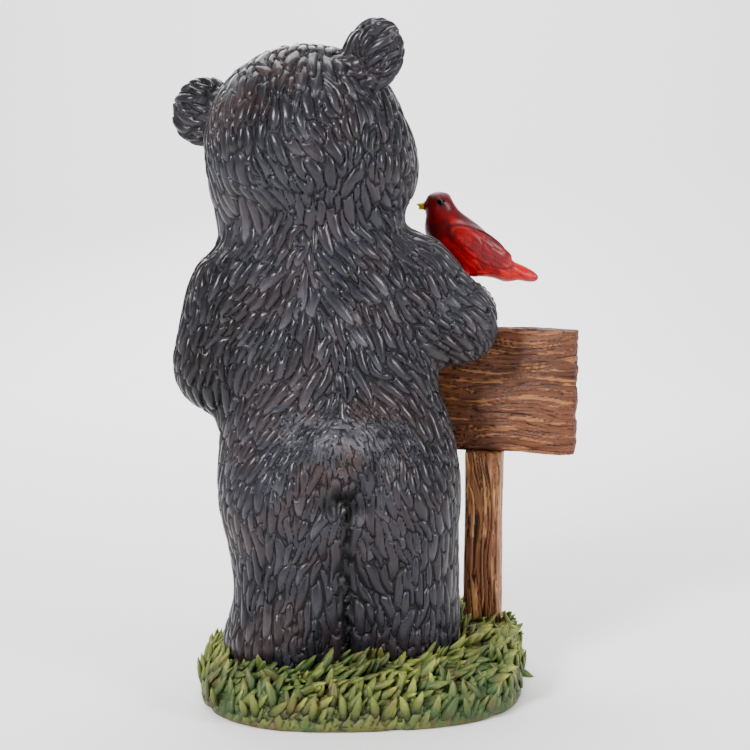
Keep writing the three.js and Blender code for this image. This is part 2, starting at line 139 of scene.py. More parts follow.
def skin_object(node, voxel, relax, rounds=2):
    """A smooth fine copy of a frame node, ready for carving."""
    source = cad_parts[node]
    mesh = source.data.copy()
    mesh.materials.clear()
    bm = bmesh.new()
    bm.from_mesh(mesh)
    bmesh.ops.remove_doubles(bm, verts=bm.verts, dist=2e-6)
    bmesh.ops.join_triangles(bm, faces=bm.faces, angle_face_threshold=0.7, angle_shape_threshold=0.8)
    bm.to_mesh(mesh)
    bm.free()
    skin = bpy.data.objects.new(node + "_fine", mesh)
    bpy.context.scene.collection.objects.link(skin)
    if rounds:
        rounding = skin.modifiers.new("rounding", "SUBSURF")
        rounding.levels = rounds
        rounding.render_levels = rounds
    remesh = skin.modifiers.new("even_cells", "REMESH")
    remesh.mode = "VOXEL"
    remesh.voxel_size = voxel * MM
    relaxing = skin.modifiers.new("relaxing", "SMOOTH")
    relaxing.factor = 0.5
    relaxing.iterations = relax
    applied(skin)
    return skin


def applied(piece):
    """Turns the piece's modifiers into plain mesh."""
    graph = bpy.context.evaluated_depsgraph_get()
    plain = bpy.data.meshes.new_from_object(piece.evaluated_get(graph))
    old = piece.data
    piece.modifiers.clear()
    piece.data = plain
    bpy.data.meshes.remove(old)


def points_of(piece):
    points = np.empty(len(piece.data.vertices) * 3)
    piece.data.vertices.foreach_get("co", points)
    return points.reshape(-1, 3)


def normals_of(piece):
    normals = np.empty(len(piece.data.vertices) * 3)
    piece.data.vertex_normals.foreach_get("vector", normals)
    return normals.reshape(-1, 3)


def move_points(piece, points):
    piece.data.vertices.foreach_set("co", points.ravel())
    piece.data.update()


def thinned(piece, triangles):
    """Fewer faces, kept where the carving bends most."""
    sides = np.empty(len(piece.data.polygons), dtype=np.int32)
    piece.data.polygons.foreach_get("loop_total", sides)
    now = int((sides - 2).sum())
    if now > triangles:
        fewer = piece.modifiers.new("fewer", "DECIMATE")
        fewer.ratio = triangles / now
        applied(piece)
    piece.data.polygons.foreach_set("use_smooth", np.ones(len(piece.data.polygons), dtype=bool))
    piece.data.update()


def unit(v):
    return v / np.maximum(np.linalg.norm(v, axis=-1, keepdims=True), 1e-9)


def smooth_step(x, low, high):
    t = np.clip((x - low) / (high - low), 0.0, 1.0)
    return t * t * (3.0 - 2.0 * t)


def cloud(points, size, seed):
    """Soft seeded variation from 0 to 1, from a few crossed waves of that size in millimetres."""
    rng = np.random.default_rng(seed)
    total = np.zeros(len(points))
    for octave in range(3):
        for _ in range(5):
            way = unit(rng.normal(size=3)) * (2 ** octave) / (size * MM) * rng.uniform(0.7, 1.4) * 2.2
            total += np.sin(points @ way + rng.uniform(0, 6.28)) / (1.6 ** octave)
    return 0.5 + 0.5 * np.tanh(total * 0.55)


# ------------------------------------------------------------------ carved strokes

def sow_strokes(points, normals, ways, lengths, widths, apart, rng, tries):
    """Chooses where strokes are cut: staggered, none on top of another. Sizes in metres."""
    cell = float(lengths.max()) * 0.8
    taken = {}
    chosen = []
    order = rng.permutation(len(points))[:tries]
    across = np.cross(normals, ways)
    for i in order:
        p = points[i]
        key = tuple((p // cell).astype(int))
        clash = False
        for a in (-1, 0, 1):
            for b in (-1, 0, 1):
                for c in (-1, 0, 1):
                    for j in taken.get((key[0] + a, key[1] + b, key[2] + c), ()):
                        d = points[j] - p
                        u = (d[0] * across[i][0] + d[1] * across[i][1] + d[2] * across[i][2]) / (
                            widths[i] * apart[1])
                        if u > 1.0 or u < -1.0:
                            continue
                        v = (d[0] * ways[i][0] + d[1] * ways[i][1] + d[2] * ways[i][2]) / (
                            lengths[i] * apart[0])
                        if u * u + v * v < 1.0:
                            clash = True
                            break
                    if clash:
                        break
                if clash:
                    break
            if clash:
                break
        if not clash:
            taken.setdefault(key, []).append(i)
            chosen.append(i)
    return np.array(chosen)


class Strokes:
    """A coat of carved strokes: each has a place, a frame, a length, a width and a bend."""

    def __init__(self, points, normals, ways, lengths, widths, apart, seed, tries):
        rng = np.random.default_rng(seed)
        kept = sow_strokes(points, normals, ways, lengths, widths, apart, rng, tries)
        kept = kept[np.argsort(points[kept, 2] + rng.normal(0.0, 0.004, len(kept)), kind="stable")]
        self.place = points[kept]
        self.out = normals[kept]
        self.way = ways[kept]
        twist = rng.normal(0.0, 0.12, len(kept))[:, None]
        self.way = unit(self.way + twist * np.cross(self.out, self.way))
        self.across = np.cross(self.out, self.way)
        self.length = lengths[kept] * rng.uniform(0.82, 1.2, len(kept))
        self.width = widths[kept] * rng.uniform(0.85, 1.2, len(kept))
        self.bend = rng.normal(0.0, 0.5, len(kept))
        self.sway = rng.normal(0.0, 0.7, len(kept))
        self.tint = rng.uniform(0.0, 1.0, len(kept))

    def stamp(self, points, normals, state=None):
        """Lays the strokes one over another, low ones first. For each point: 1 on the crest of the
        stroke on top, 0 in the cut round it, below 0 on bare ground; its tint; the place along it."""
        if state is None:
            state = [np.full(len(points), v) for v in (-1.3, 0.5, 0.5)]
        carve, tint, along = state
        cell = 0.009
        keys = np.floor(points / cell).astype(np.int64) + 500
        code = keys[:, 0] * 1000000 + keys[:, 1] * 1000 + keys[:, 2]
        order = np.argsort(code, kind="stable")
        marks, starts = np.unique(code[order], return_index=True)
        ends = np.append(starts[1:], len(order))
        bucket = {int(m): order[s:e] for m, s, e in zip(marks, starts, ends)}
        for n in range(len(self.place)):
            reach = 0.62 * self.length[n] + 0.001
            low = np.floor((self.place[n] - reach) / cell).astype(int) + 500
            high = np.floor((self.place[n] + reach) / cell).astype(int) + 500
            near = [
                bucket[a * 1000000 + b * 1000 + c]
                for a in range(low[0], high[0] + 1)
                for b in range(low[1], high[1] + 1)
                for c in range(low[2], high[2] + 1)
                if a * 1000000 + b * 1000 + c in bucket]
            if not near:
                continue
            near = np.concatenate(near)
            d = points[near] - self.place[n]
            v = d @ self.way[n] * (2.0 / self.length[n])
            u = d @ self.across[n] * (2.0 / self.width[n])
            u = u + self.bend[n] * v * v + self.sway[n] * (v * v * v - 0.6 * v)
            inside = (np.abs(v) < 1.4) & (np.abs(u) < 1.8) & (normals[near] @ self.out[n] > 0.1)
            near, u, v = near[inside], u[inside], v[inside]
            if not len(near):
                continue
            depth = 1.0 - u * u * (1.0 + 0.3 * v) - np.abs(v) ** 2.6
            held = carve[near]
            beside = np.where(held > 0.0, np.minimum(held, -2.6 * depth), np.maximum(held, depth))
            carve[near] = np.where(depth > 0.0, depth, beside)
            near, depth, v = near[depth > 0.0], depth[depth > 0.0], v[depth > 0.0]
            tint[near] = self.tint[n]
            along[near] = 0.5 + 0.5 * v
        return state


# how high the carving stands, and how light it is painted, from the ground between strokes (-1)
# over the thin ridge and the cut round a stroke (0) to its crest (1)
CARVED_HEIGHT = (
    (-1.0, 0.42), (-0.45, 0.58), (-0.28, 0.50), (-0.06, 0.0), (0.08, 0.06), (0.4, 0.72), (1.0, 1.0))
CARVED_TONE = (
    (-1.0, 0.30), (-0.5, 0.45), (-0.32, 0.80), (-0.16, 0.10), (0.06, 0.02), (0.18, 0.45), (0.36, 1.0),
    (0.6, 0.66), (1.0, 0.75))


def relief(score, along):
    """Carved height from 0 in the cuts to 1 on the crests."""
    places, heights = zip(*CARVED_HEIGHT)
    fuller = np.where(score > 0.0, 0.68 + 0.36 * np.clip(along, 0.0, 1.0), 1.0)
    return np.interp(score, places, heights) * fuller


# ------------------------------------------------------------------ paint

def write_paint(piece, colour, gloss):
    mesh = piece.data
    paint = mesh.attributes.new("paint", "FLOAT_COLOR", "POINT")
    rgba = np.ones((len(mesh.vertices), 4), dtype=np.float32)
    rgba[:, :3] = np.clip(colour, 0.0, 1.0)
    paint.data.foreach_set("color", rgba.ravel())
    shine = mesh.attributes.new("gloss", "FLOAT", "POINT")
    shine.data.foreach_set("value", np.asarray(gloss, dtype=np.float32))


def write_float(mesh, name, values):
    held = mesh.attributes.new(name, "FLOAT", "POINT")
    held.data.foreach_set("value", np.asarray(values, dtype=np.float32))


def mix(a, b, amount):
    amount = np.asarray(amount)[:, None]
    return np.asarray(a) * (1.0 - amount) + np.asarray(b) * amount


def stepped(tree, value, stops):
    """A ramp over -1 to 1 through the given (place, level) stops."""
    spread = tree.nodes.new("ShaderNodeMapRange")
    spread.inputs["From Min"].default_value = -1.0
    spread.inputs["From Max"].default_value = 1.0
    tree.links.new(value, spread.inputs["Value"])
    ramp = tree.nodes.new("ShaderNodeValToRGB")
    held = ramp.color_ramp.elements
    while len(held) < len(stops):
        held.new(0.5)
    for stop, (place, level) in zip(held, stops):
        stop.position = 0.5 + 0.5 * place
        stop.color = (level, level, level, 1.0)
    tree.links.new(spread.outputs["Result"], ramp.inputs["Fac"])
    return ramp.outputs["Color"]


def outline_cuts(tree, toned, shader, depth):
    """Sharpens the carved cuts: dark in the cut, light on the ridge, from the 'carve' attribute."""
    carve = tree.nodes.new("ShaderNodeAttribute")
    carve.attribute_name = "carve"
    cut = tree.nodes.new("ShaderNodeVectorMath")
    cut.operation = "MULTIPLY"
    tree.links.new(toned.outputs["Vector"], cut.inputs[0])
    tree.links.new(stepped(tree, carve.outputs["Fac"], CARVED_TONE), cut.inputs[1])
    tree.links.new(cut.outputs["Vector"], shader.inputs["Base Color"])
    edge = tree.nodes.new("ShaderNodeBump")
    edge.inputs["Strength"].default_value = 0.8
    edge.inputs["Distance"].default_value = depth
    tree.links.new(stepped(tree, carve.outputs["Fac"], CARVED_HEIGHT), edge.inputs["Height"])
    return edge


def painted_material(name, grain, speckle, bump, stretch=(1.0, 1.0, 1.0), coat=0.0, specular=0.5, cut=0.0):
    """Hand paint over cast resin: the piece's own paint, mottled, with fine brush texture."""
    material = bpy.data.materials.new(name)
    material.use_nodes = True
    tree = material.node_tree
    nodes, links = tree.nodes, tree.links
    shader = nodes["Principled BSDF"]
    paint = nodes.new("ShaderNodeAttribute")
    paint.attribute_name = "paint"
    gloss = nodes.new("ShaderNodeAttribute")
    gloss.attribute_name = "gloss"
    where = nodes.new("ShaderNodeTexCoord")
    mapping = nodes.new("ShaderNodeMapping")
    mapping.inputs["Scale"].default_value = stretch
    links.new(where.outputs["Object"], mapping.inputs["Vector"])
    mottle = nodes.new("ShaderNodeTexNoise")
    mottle.inputs["Scale"].default_value = grain
    mottle.inputs["Detail"].default_value = 5.0
    mottle.inputs["Roughness"].default_value = 0.65
    links.new(mapping.outputs["Vector"], mottle.inputs["Vector"])
    spread = nodes.new("ShaderNodeMapRange")
    spread.inputs["From Min"].default_value = 0.3
    spread.inputs["From Max"].default_value = 0.7
    spread.inputs["To Min"].default_value = 1.0 - speckle
    spread.inputs["To Max"].default_value = 1.0 + speckle
    links.new(mottle.outputs["Fac"], spread.inputs["Value"])
    toned = nodes.new("ShaderNodeVectorMath")
    toned.operation = "SCALE"
    links.new(paint.outputs["Color"], toned.inputs[0])
    links.new(spread.outputs["Result"], toned.inputs["Scale"])
    links.new(toned.outputs["Vector"], shader.inputs["Base Color"])
    rough = nodes.new("ShaderNodeMapRange")
    rough.inputs["From Min"].default_value = 0.0
    rough.inputs["From Max"].default_value = 1.0
    rough.inputs["To Min"].default_value = 0.72
    rough.inputs["To Max"].default_value = 0.14
    links.new(gloss.outputs["Fac"], rough.inputs["Value"])
    uneven = nodes.new("ShaderNodeMath")
    uneven.operation = "MULTIPLY_ADD"
    uneven.inputs[1].default_value = 0.12
    uneven.inputs[2].default_value = -0.06
    links.new(mottle.outputs["Fac"], uneven.inputs[0])
    total = nodes.new("ShaderNodeMath")
    total.operation = "ADD"
    links.new(rough.outputs["Result"], total.inputs[0])
    links.new(uneven.outputs["Value"], total.inputs[1])
    links.new(total.outputs["Value"], shader.inputs["Roughness"])
    fine = nodes.new("ShaderNodeTexNoise")
    fine.inputs["Scale"].default_value = grain * 2.2
    fine.inputs["Detail"].default_value = 3.0
    links.new(mapping.outputs["Vector"], fine.inputs["Vector"])
    bumps = nodes.new("ShaderNodeBump")
    bumps.inputs["Strength"].default_value = bump
    bumps.inputs["Distance"].default_value = 0.0004
    links.new(fine.outputs["Fac"], bumps.inputs["Height"])
    links.new(bumps.outputs["Normal"], shader.inputs["Normal"])
    if cut:
        links.new(outline_cuts(tree, toned, shader, cut).outputs["Normal"], bumps.inputs["Normal"])
    shader.inputs["Specular IOR Level"].default_value = specular
    shader.inputs["Coat Weight"].default_value = coat
    shader.inputs["Coat Roughness"].default_value = 0.12
    return material


def settle(piece, name, node, material):
    piece.name = name
    piece.data.name = name
    piece.data.materials.clear()
    piece.data.materials.append(material)
    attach(piece, "root")
    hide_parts(node)


# ------------------------------------------------------------------ bear

BEAR_LOW, BEAR_HIGH = (np.array(c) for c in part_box("bear"))
BEAR_SIZE = BEAR_HIGH - BEAR_LOW
LEG_SHARE = 0.36


def on_bear(fx, fy, fz):
    """A place by its share of the bear's box."""
    return BEAR_LOW + BEAR_SIZE * np.array([fx, fy, fz])


HEAD = on_bear(0.585, 0.567, 0.815)
HEAD_TURNED = np.array(Euler(
    (math.radians(8.0), math.radians(14.5), math.radians(-26.0)), "XYZ").to_matrix())
CROWN = HEAD + HEAD_TURNED @ (np.array([0.0, -6.0, 60.0]) * MM)
NECK = on_bear(0.56, 0.58, 0.67)
HIPS = on_bear(0.48, 0.6, 0.25)
TAIL = on_bear(0.47, 0.96, 0.378)
LEFT_SHOULDER = on_bear(0.80, 0.58, 0.60)
LEFT_ELBOW = on_bear(0.862, 0.56, 0.462)
LEFT_PAW = on_bear(0.68, 0.17, 0.432)
RIGHT_SHOULDER = on_bear(0.27, 0.58, 0.61)
RIGHT_ELBOW = on_bear(0.132, 0.52, 0.531)
RIGHT_PAW = on_bear(0.088, 0.25, 0.56)
LEFT_HIP = on_bear(0.654, 0.64, 0.237)
LEFT_HEEL = on_bear(0.664, 0.68, 0.047)
RIGHT_HIP = on_bear(0.311, 0.58, 0.237)
RIGHT_HEEL = on_bear(0.286, 0.62, 0.063)
LEFT_TOES = on_bear(0.674, 0.27, 0.03)
RIGHT_TOES = on_bear(0.275, 0.15, 0.035)


def from_limb(points, start, end):
    axis = end - start
    t = np.clip((points - start) @ axis / (axis @ axis), 0.0, 1.0)
    return np.linalg.norm(points - (start + t[:, None] * axis), axis=1)


def fur_ways(points, normals):
    """Which way the fur is combed at each point, lying in the surface."""
    down = np.array([0.0, 0.0, -1.0])
    spine = BEAR_LOW[0] + BEAR_SIZE[0] * (0.47 + 0.11 * smooth_step(points[:, 2], 0.16, 0.27))
    side = (points[:, 0] - spine) / (0.02)
    share = smooth_step(points[:, 2], BEAR_LOW[2] + 0.15 * BEAR_SIZE[2], BEAR_LOW[2] + 0.5 * BEAR_SIZE[2])
    fan = np.tanh(side) * (0.15 + 0.75 * share)
    trunk = np.stack([fan, np.zeros(len(points)), -np.ones(len(points))], axis=1)
    head = points - CROWN + (points - HEAD) * 0.15
    ways = [(unit(trunk), from_limb(points, NECK, HIPS) / MM - 52.0, 1.0)]
    ways.append((unit(head), np.linalg.norm(points - HEAD, axis=1) / MM - 56.0, 6.0))
    limbs = [
        (LEFT_SHOULDER, LEFT_ELBOW, 23.0, 1.0), (LEFT_ELBOW, LEFT_PAW, 19.0, 1.0),
        (RIGHT_SHOULDER, RIGHT_ELBOW, 23.0, 1.0), (RIGHT_ELBOW, RIGHT_PAW, 17.0, 1.0),
        (LEFT_HIP, LEFT_HEEL, 33.0, 0.8), (RIGHT_HIP, RIGHT_HEEL, 34.0, 0.8),
        (LEFT_HEEL, LEFT_TOES, 18.0, 0.6), (RIGHT_HEEL, RIGHT_TOES, 18.0, 0.6)]
    for start, end, girth, weight in limbs:
        way = np.broadcast_to(unit(end - start), points.shape)
        ways.append((way, from_limb(points, start, end) / MM - girth, weight))
    total = np.zeros_like(points)
    for way, gap, weight in ways:
        total += way * (weight / (np.maximum(gap, 0.0) + 3.0) ** 2.5)[:, None]
    total = unit(total)
    h = head_places(points)
    for centre in ear_centres():
        on_ear = smooth_step(25.0 - np.linalg.norm(h - centre, axis=1), 0.0, 3.0)
        on_ear = on_ear * smooth_step(np.linalg.norm(h, axis=1), 58.0, 64.0)
        total = mix(total, unit(points - HEAD), on_ear)
    near_tail = np.exp(-(np.linalg.norm(points - TAIL, axis=1) / (15.0 * MM)) ** 2)
    swirl = unit(points - (TAIL + np.array([0.0, 0.0, 6.0 * MM]))) + 0.6 * down
    total = mix(total, unit(swirl), np.clip(near_tail * 1.1, 0.0, 1.0))
    wave = 0.25 * np.sin(points[:, 2] / (15.0 * MM) + points[:, 0] / (14.0 * MM))
    total[:, 0] += wave
    total = total - normals * np.sum(total * normals, axis=1, keepdims=True)
    return unit(total)


def head_places(points):
    return (points - HEAD) @ HEAD_TURNED / MM


def ear_centres():
    return [np.array([side * 57.5, 13.0, 34.0]) for side in (1.0, -1.0)]


def face_masks(points):
    """Where the bare muzzle, nose, eyes and ear cups are, 0 to 1."""
    h = head_places(points)
    muzzle = smooth_step(-h[:, 1], 54.0, 64.0) * (np.linalg.norm(h - [0.0, -66.0, -18.0], axis=1) < 34.0)
    nose = np.linalg.norm((h - [0.0, -81.0, -11.0]) / [12.0, 9.5, 9.0], axis=1) < 1.0
    nose = nose & (h[:, 1] < -78.0)
    eyes = np.zeros(len(points), dtype=bool)
    for side in (1.0, -1.0):
        eyes |= np.linalg.norm(h - [side * 21.0, -55.5, 7.0], axis=1) < 5.4
    cups = np.zeros(len(points))
    for centre in ear_centres():
        d = h - centre
        cups = np.maximum(cups, smooth_step(-d[:, 1], 2.0, 5.0) * (np.linalg.norm(d, axis=1) < 17.0))
    return muzzle, nose.astype(float), eyes.astype(float), cups


def saddle(points):
    """The ruffled patch of small strokes over and around the tail, 0 to 1."""
    gap = (points - TAIL) / MM / [44.0, 40.0, 21.0]
    return smooth_step(1.25 - np.linalg.norm(gap, axis=1), 0.0, 0.5)


def tail_tuft(points):
    """The rounded tail, 0 to 1."""
    gap = (points - TAIL + [0.0, 0.0, 7.0 * MM]) / MM / [21.0, 32.0, 25.0]
    return smooth_step(1.0 - np.linalg.norm(gap, axis=1), 0.0, 0.6) * (points[:, 1] > 0.02)


def crease(points):
    """The narrow fold between the legs and the hollow under the tail, 0 to 1."""
    across = (points[:, 0] - TAIL[0] + 2.0 * MM) / (3.4 * MM)
    high = TAIL[2] - 36.0 * MM
    fold = np.exp(-across ** 2) * smooth_step(high + 4.0 * MM - points[:, 2], 0.0, 0.012)
    hollow = np.linalg.norm((points - [TAIL[0], TAIL[1], high]) / MM / [15.0, 24.0, 6.0], axis=1)
    return np.clip(fold * (points[:, 1] > 0.0) + 1.3 * np.exp(-hollow ** 2), 0.0, 1.3)


def leg_band(points):
    """The lower legs and feet, 0 to 1."""
    return smooth_step(BEAR_LOW[2] + LEG_SHARE * BEAR_SIZE[2] - points[:, 2], 0.0, 0.03)


def fur_coats(points, normals):
    """The main strokes of the fur, and short ones that fill the ground between them."""
    ways = fur_ways(points, normals)
    head = np.linalg.norm(points - HEAD, axis=1) < 0.068
    low = leg_band(points)
    small = np.clip(saddle(points) + face_masks(points)[0], 0.0, 1.0)
    lengths = (24.5 + 3.0 * low - 10.5 * small) * MM
    widths = (6.6 + 0.9 * head + 0.4 * low - 3.2 * small) * MM
    main = Strokes(points, normals, ways, lengths, widths, apart=(0.66, 0.74), seed=11, tries=90000)
    bare = np.flatnonzero(main.stamp(points, normals)[0] < -0.42)
    fill = Strokes(points[bare], normals[bare], ways[bare], lengths[bare] * 0.6, widths[bare] * 0.62,
                   apart=(0.85, 0.85), seed=12, tries=60000)
    return [main, fill]


def stamp_all(coats, points, normals):
    state = None
    for coat in coats:
        state = coat.stamp(points, normals, state)
    return state


def make_bear():
    skin = skin_object("bear", 0.78, 30)
    points, normals = points_of(skin), normals_of(skin)
    coats = fur_coats(points, normals)
    score, tint, along = stamp_all(coats, points, normals)
    height = relief(score, along)
    low = leg_band(points)
    muzzle, nose, eyes, cups = face_masks(points)
    depth = (2.5 - 0.6 * low - 0.9 * saddle(points) - 1.7 * muzzle) * MM
    bare = np.clip(nose + eyes + 0.5 * cups, 0.0, 1.0)
    shift = depth * (height - 0.6) * (1.0 - bare) - 3.5 * MM * crease(points)
    shift += 5.0 * MM * tail_tuft(points)
    move_points(skin, points + normals * shift[:, None])
    thinned(skin, BEAR_TRIANGLES)
    points, normals = points_of(skin), normals_of(skin)
    score, tint, along = stamp_all(coats, points, normals)
    write_bear_paint(skin, points, score, tint, along)
    settle(skin, "bear_carved", "bear",
           painted_material("charcoal_fur_paint", 420.0, 0.25, 0.15, specular=0.27, cut=0.0009))
    print("bear strokes", [len(c.place) for c in coats], "faces", len(skin.data.polygons))


def write_bear_paint(skin, points, score, tint, along):
    coal = np.array([0.0055, 0.0054, 0.0072])
    slate = np.array([0.023, 0.0222, 0.030])
    silver = np.array([0.125, 0.12, 0.138])
    rust = np.array([0.075, 0.028, 0.016])
    body = mix(coal, slate, 0.3 + 0.35 * tint + 0.35 * smooth_step(cloud(points, 40.0, 4), 0.1, 0.8))
    patch = cloud(points, 30.0, 5)
    brushed = smooth_step(along, 0.35, 0.9) * smooth_step(tint, 0.2, 1.0) * smooth_step(patch, 0.3, 0.9)
    body = mix(body, silver, 0.42 * brushed)
    h = head_places(points)
    on_head = np.linalg.norm(h, axis=1) < 80
    crown = np.exp(-((h[:, 0] / 42.0) ** 2 + ((h[:, 2] - 36.0) / 24.0) ** 2)) * on_head
    above_tail = np.exp(-(np.linalg.norm((points - TAIL) / MM / [42.0, 30.0, 20.0], axis=1)) ** 2)
    leg = np.exp(-(from_limb(points, LEFT_HIP, LEFT_HEEL) / (42.0 * MM)) ** 2)
    wash = np.clip(0.5 * crown + 0.6 * above_tail + 0.4 * leg + 0.2, 0, 1)
    wash = wash * smooth_step(cloud(points, 14.0, 8), 0.45, 0.9)
    body = mix(body, rust, 0.45 * wash)
    # painted highlight: silver streaks over the tail patch, standing in for the light caught there
    body = mix(body, silver, 0.36 * above_tail * smooth_step(cloud(points, 7.0, 18), 0.5, 0.9))
    # painted shade: the top of the head, darkened against the light from above
    top = smooth_step(h[:, 2], 30.0, 50.0) * on_head
    # painted highlight: the upper side of the tail tuft painted silver, where the light falls on it
    tuft_top_highlight = smooth_step(points[:, 2] - TAIL[2], -0.012, 0.002)
    body = mix(body, silver, 0.42 * tail_tuft(points) * (0.3 + 0.7 * tint) * tuft_top_highlight)
    # painted shade over the left shoulder-to-elbow limb, and painted highlight down the middle of the back
    arm = smooth_step(37.0 - from_limb(points, LEFT_SHOULDER, LEFT_ELBOW) / MM, 0.0, 8.0)
    spine = np.exp(-(from_limb(points, NECK, TAIL) / (60.0 * MM)) ** 2)
    body = body * (1.0 - 0.42 * arm + 0.45 * spine)[:, None]
    # painted shade: darker on the top of the head, in the fold between the legs and in the hollow under the
    # tail
    body = body * np.clip(1.0 - 0.5 * top - 0.85 * crease(points), 0.08, 1.0)[:, None]
    muzzle, nose, eyes, cups = face_masks(points)
    tan = mix(np.array([0.035, 0.017, 0.009]), np.array([0.19, 0.105, 0.058]), smooth_step(score, 0.0, 0.7))
    body = mix(body, tan, 0.9 * muzzle)
    body = mix(body, np.array([0.035, 0.018, 0.013]), 0.8 * cups)
    body = mix(body, np.array([0.003, 0.003, 0.0035]), np.clip(nose + eyes, 0, 1))
    bare = np.clip(nose + eyes, 0, 1)
    gloss = 0.24 + 0.50 * smooth_step(score, 0.0, 0.5)
    write_paint(skin, body, gloss * (1 - bare) + 0.97 * bare)
    write_float(skin.data, "carve", np.clip(mix(score[:, None], [1.0], bare)[:, 0], -1.0, 1.0))


# ------------------------------------------------------------------ grass

LEAF_SEED = 7
LEAF_SPACING = 0.0037
LEAF_LENGTH = 0.0130
LEAF_WIDTH = 0.0052


def leaf_mesh():
    """One thick carved leaf of grass, root at the origin, tip towards +Z, curling a little to +Y."""
    mesh = bpy.data.meshes.new("grass_leaf")
    bm = bmesh.new()
    rings = []
    for t, wide, thick in ((0.0, 0.6, 0.5), (0.3, 1.0, 0.6), (0.62, 0.85, 0.5), (0.86, 0.42, 0.28)):
        ring = []
        for k in range(6):
            a = k / 6 * 2 * math.pi
            ring.append(bm.verts.new((
                0.5 * wide * math.cos(a) + 0.5 * t * t, 0.5 * thick * math.sin(a) - 0.1 * t * t, t)))
        rings.append(ring)
    tip = bm.verts.new((0.56, -0.12, 1.0))
    for low, high in zip(rings, rings[1:]):
        for k in range(6):
            bm.faces.new((low[k], low[(k + 1) % 6], high[(k + 1) % 6], high[k]))
    for k in range(6):
        bm.faces.new((rings[-1][k], rings[-1][(k + 1) % 6], tip))
    bm.faces.new(list(reversed(rings[0])))
    bmesh.ops.recalc_face_normals(bm, faces=bm.faces)
    bm.to_mesh(mesh)
    bm.free()
    along = mesh.attributes.new("leaf_height", "FLOAT", "POINT")
    along.data.foreach_set("value", [v.co.z for v in mesh.vertices])
    return mesh


def leaf_nodes(leaf, material):
    """Node group: seeded leaves on the mound where its 'sow' attribute is 1, along its 'grow' attribute."""
    tree = bpy.data.node_groups.new("grass_leaves", "GeometryNodeTree")
    face = tree.interface
    face.new_socket("Geometry", in_out="INPUT", socket_type="NodeSocketGeometry")
    for label, value in (("Spacing", 0.0045), ("Leaf length", 0.015), ("Leaf width", 0.0062)):
        face.new_socket(label, in_out="INPUT", socket_type="NodeSocketFloat").default_value = value
    face.new_socket("Seed", in_out="INPUT", socket_type="NodeSocketInt").default_value = 7
    face.new_socket("Geometry", in_out="OUTPUT", socket_type="NodeSocketGeometry")
    nodes, links = tree.nodes, tree.links
    entry = nodes.new("NodeGroupInput")
    leave = nodes.new("NodeGroupOutput")

    def named(label, kind):
        node = nodes.new("GeometryNodeInputNamedAttribute")
        node.data_type = kind
        node.inputs["Name"].default_value = label
        return node.outputs["Attribute"]

    def dice(low, high, seed):
        node = nodes.new("FunctionNodeRandomValue")
        node.data_type = "FLOAT"
        node.inputs[2].default_value = low
        node.inputs[3].default_value = high
        node.inputs["Seed"].default_value = seed
        return node.outputs[1]

    spread = nodes.new("GeometryNodeDistributePointsOnFaces")
    spread.distribute_method = "POISSON"
    spread.inputs["Density Max"].default_value = 90000.0
    links.new(entry.outputs["Geometry"], spread.inputs["Mesh"])
    links.new(entry.outputs["Spacing"], spread.inputs["Distance Min"])
    links.new(entry.outputs["Seed"], spread.inputs["Seed"])
    links.new(named("sow", "FLOAT"), spread.inputs["Density Factor"])
    facing = nodes.new("FunctionNodeAlignRotationToVector")
    facing.axis = "Y"
    links.new(spread.outputs["Normal"], facing.inputs["Vector"])
    upward = nodes.new("FunctionNodeAlignRotationToVector")
    upward.axis = "Z"
    upward.pivot_axis = "AUTO"
    links.new(facing.outputs["Rotation"], upward.inputs["Rotation"])
    links.new(named("grow", "FLOAT_VECTOR"), upward.inputs["Vector"])
    lean = nodes.new("FunctionNodeRotateRotation")
    lean.rotation_space = "LOCAL"
    tilt = nodes.new("FunctionNodeEulerToRotation")
    turn = nodes.new("ShaderNodeCombineXYZ")
    links.new(dice(-0.12, 0.12, 3), turn.inputs["X"])
    links.new(dice(-0.75, 0.65, 4), turn.inputs["Y"])
    links.new(dice(-0.45, 0.45, 5), turn.inputs["Z"])
    links.new(turn.outputs["Vector"], tilt.inputs["Euler"])
    links.new(upward.outputs["Rotation"], lean.inputs["Rotation"])
    links.new(tilt.outputs["Rotation"], lean.inputs["Rotate By"])
    size = nodes.new("ShaderNodeCombineXYZ")
    links.new(entry.outputs["Leaf width"], size.inputs["X"])
    links.new(entry.outputs["Leaf width"], size.inputs["Y"])
    links.new(entry.outputs["Leaf length"], size.inputs["Z"])
    vary = nodes.new("ShaderNodeVectorMath")
    vary.operation = "SCALE"
    links.new(size.outputs["Vector"], vary.inputs[0])
    links.new(dice(0.7, 1.25, 6), vary.inputs["Scale"])
    tint = nodes.new("GeometryNodeStoreNamedAttribute")
    tint.data_type = "FLOAT"
    tint.domain = "POINT"
    tint.inputs["Name"].default_value = "leaf_tint"
    links.new(spread.outputs["Points"], tint.inputs["Geometry"])
    links.new(dice(0.0, 1.0, 8), tint.inputs["Value"])
    shape = nodes.new("GeometryNodeObjectInfo")
    shape.inputs["Object"].default_value = leaf
    plant = nodes.new("GeometryNodeInstanceOnPoints")
    links.new(tint.outputs["Geometry"], plant.inputs["Points"])
    links.new(shape.outputs["Geometry"], plant.inputs["Instance"])
    links.new(lean.outputs["Rotation"], plant.inputs["Rotation"])
    links.new(vary.outputs["Vector"], plant.inputs["Scale"])
    real = nodes.new("GeometryNodeRealizeInstances")
    links.new(plant.outputs["Instances"], real.inputs["Geometry"])
    paint = nodes.new("GeometryNodeSetMaterial")
    paint.inputs["Material"].default_value = material
    links.new(real.outputs["Geometry"], paint.inputs["Geometry"])
    links.new(paint.outputs["Geometry"], leave.inputs["Geometry"])
    return tree


